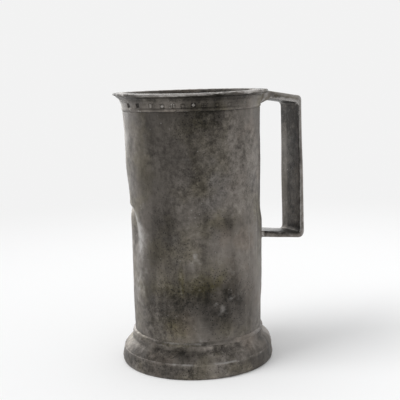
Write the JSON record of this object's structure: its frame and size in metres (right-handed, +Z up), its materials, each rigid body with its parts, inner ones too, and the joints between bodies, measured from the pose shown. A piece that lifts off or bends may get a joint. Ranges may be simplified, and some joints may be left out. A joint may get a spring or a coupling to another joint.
{
  "type": "pewter tankard",
  "caption": "Straight-sided pewter measure with an open mouth, flared lip, moulded foot and flat strap handle, for holding and pouring drink.",
  "frame": {"origin": "on the surface the foot stands on, under the middle of the whole object's box; the mug's own axis is 16.6 mm towards -X of it", "axes": "+Z up along the mug's axis, +X from the mug towards the handle, +Y across the handle's width"},
  "size_m": [0.1363, 0.1032, 0.182],
  "materials": {
    "drum_pewter": "dull oxidised pewter, mottled and scratched",
    "collar_pewter": "oxidised pewter, lip edge worn bright",
    "foot_pewter": "dark oxidised pewter, ridges worn bright",
    "floor_pewter": "dull oxidised pewter with turning rings",
    "handle_pewter": "oxidised pewter, rubbed smooth by the hand",
    "solder": "dull solder, slightly lumpy"
  },
  "bodies": {
    "root": {"drum": "drum_pewter", "lip_collar": "collar_pewter", "foot_ring": "foot_pewter", "bottom_disc": "floor_pewter", "handle": "handle_pewter", "floor_solder": "solder", "foot_solder": "solder", "upper_arm_solder": "solder", "lower_arm_solder": "solder"}
  },
  "joints": []
}
